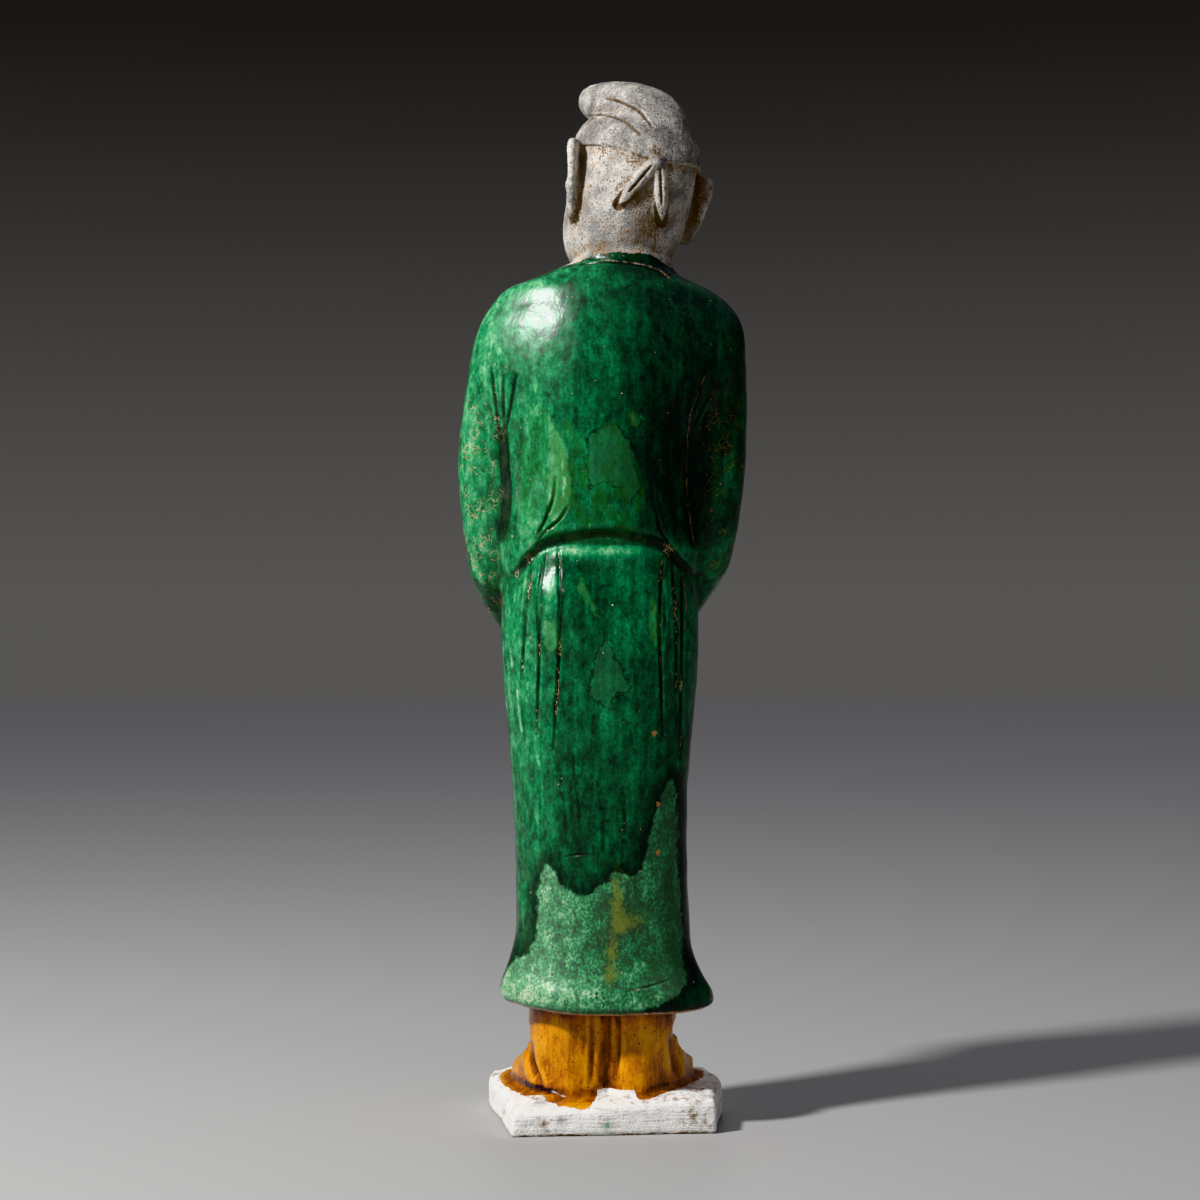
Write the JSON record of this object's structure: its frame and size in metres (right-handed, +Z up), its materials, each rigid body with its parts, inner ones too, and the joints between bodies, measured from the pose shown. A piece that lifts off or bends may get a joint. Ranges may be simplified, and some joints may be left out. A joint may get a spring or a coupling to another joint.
{
  "type": "glazed pottery officer figure",
  "caption": "Standing robed official in green, amber and bare clay pottery, with a knotted cap, joined sleeves, boots and a slab base.",
  "frame": {"origin": "middle of the underside of the base", "axes": "+Z up, the figure faces -Y, +X is the figure's left"},
  "size_m": [0.1956, 0.1406, 0.7045],
  "materials": {
    "glazed_earthenware": "Streaked emerald lead glaze on the robe, honey amber glaze on the boots, bare white-slipped clay on the head and the base."
  },
  "bodies": {
    "root": {"officer_figure": "glazed_earthenware"}
  },
  "joints": []
}
